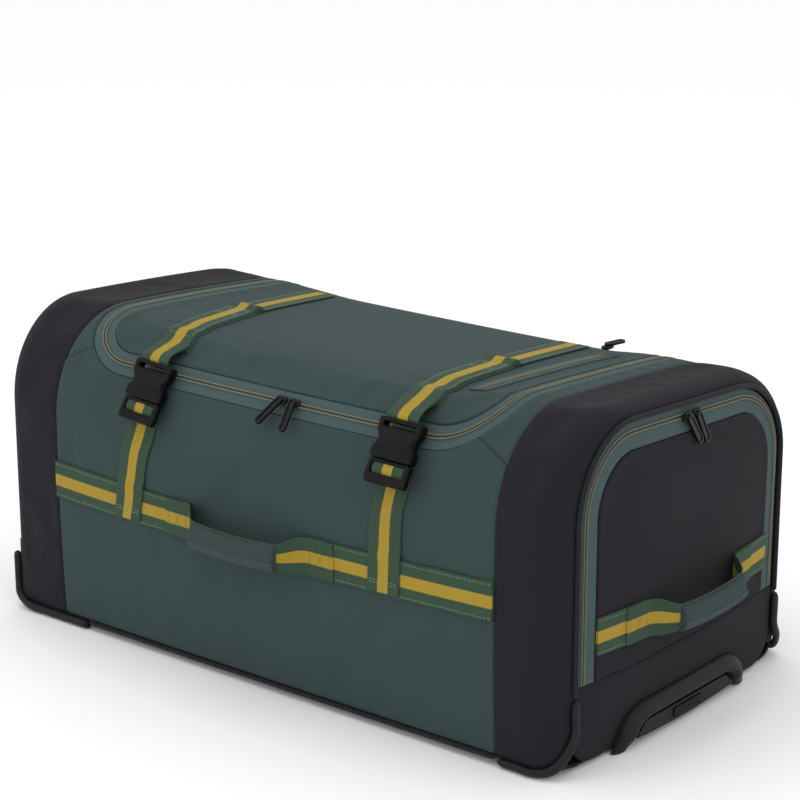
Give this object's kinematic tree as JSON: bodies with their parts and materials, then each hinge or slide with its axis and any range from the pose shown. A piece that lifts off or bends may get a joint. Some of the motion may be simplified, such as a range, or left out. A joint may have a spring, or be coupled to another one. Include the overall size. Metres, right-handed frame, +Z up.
{
  "type": "wheeled travel bag",
  "caption": "Long box-shaped wheeled travel bag with a U-zip lid, compression straps, webbing carry handles, corner wheels and a pull-out trolley grip.",
  "frame": {"origin": "on the floor under the middle of the whole bag, handles included", "axes": "+Z up; +X along the bag, towards the trolley grip; -Y out of the front with the carry handle"},
  "size_m": [0.8214, 0.4672, 0.3439],
  "materials": {
    "black_cloth": "black coated polyester cloth",
    "green_cloth": "grey-green coated polyester cloth",
    "zip_tape": "teal-grey zip tape with gold stitching",
    "zip_metal": "dark zip coil, sliders and cord pulls",
    "moulding": "dark grey moulded plastic, slightly grained",
    "webbing": "green webbing with a woven yellow stripe",
    "grip_cloth": "folded grey-green cloth wrap",
    "buckle": "near-black acetal",
    "rubber": "dark grey wheel tyre",
    "aluminium": "drawn aluminium tube"
  },
  "bodies": {
    "bag": {"base_panel": "black_cloth", "front_panel": "green_cloth", "back_panel": "green_cloth", "lid_panel": "green_cloth", "lid_gusset_left": "green_cloth", "lid_gusset_right": "green_cloth", "lid_zip_tape": "zip_tape", "lid_zip_chain": "zip_metal", "pocket_zip": "zip_tape", "wrap_left": "black_cloth", "end_panel_left": "black_cloth", "end_lower_left": "black_cloth", "wrap_right": "black_cloth", "end_zip_tape": "zip_tape", "end_zip_chain": "zip_metal", "end_pocket": "black_cloth", "end_lower_right": "black_cloth", "base_piping_front": "moulding", "base_piping_back": "moulding", "end_piping_left": "moulding", "end_piping_right": "moulding", "front_band": "webbing", "end_band_left": "webbing", "end_band_right": "webbing", "front_handle_webbing": "webbing", "front_handle_grip": "grip_cloth", "end_handle_left_webbing": "webbing", "end_handle_left_grip": "grip_cloth", "end_handle_right_webbing": "webbing", "end_handle_right_grip": "grip_cloth", "strap_lower_left": "webbing", "strap_upper_left": "webbing", "strap_lower_right": "webbing", "strap_upper_right": "webbing", "buckle_female_left": "buckle", "buckle_male_left": "buckle", "buckle_female_right": "buckle", "buckle_male_right": "buckle", "lid_slider_left": "zip_metal", "lid_slider_right": "zip_metal", "pocket_slider": "zip_metal", "end_slider_front": "zip_metal", "end_slider_back": "zip_metal", "corner_guard_front": "moulding", "corner_guard_back": "moulding", "wheel_housing_front": "moulding", "housing_rim_front": "moulding", "wheel_housing_back": "moulding", "housing_rim_back": "moulding", "trolley_housing": "moulding", "guide_tube_front": "aluminium", "guide_tube_back": "aluminium"},
    "trolley": {"sliding_tube_front": "aluminium", "sliding_tube_back": "aluminium", "trolley_grip": "moulding"},
    "release_button": {"trolley_button": "buckle"},
    "front_wheel": {"wheel_front": "rubber"},
    "back_wheel": {"wheel_back": "rubber"}
  },
  "joints": [
    {"name": "front_wheel_spin", "type": "hinge", "parent": "bag", "child": "front_wheel", "pos_m": [-0.337, -0.1613, 0.034], "axis": [0, 1, 0], "continuous": true},
    {"name": "back_wheel_spin", "type": "hinge", "parent": "bag", "child": "back_wheel", "pos_m": [-0.337, 0.1906, 0.034], "axis": [0, 1, 0], "continuous": true},
    {"name": "trolley_slide", "type": "slide", "parent": "bag", "child": "trolley", "axis": [1, 0, 0], "range_m": [0, 0.4]},
    {"name": "button_press", "type": "slide", "parent": "trolley", "child": "release_button", "axis": [-1, 0, 0], "range_m": [0, 0.0025], "stiffness_N_per_m": 400, "springref_m": -0.002}
  ]
}
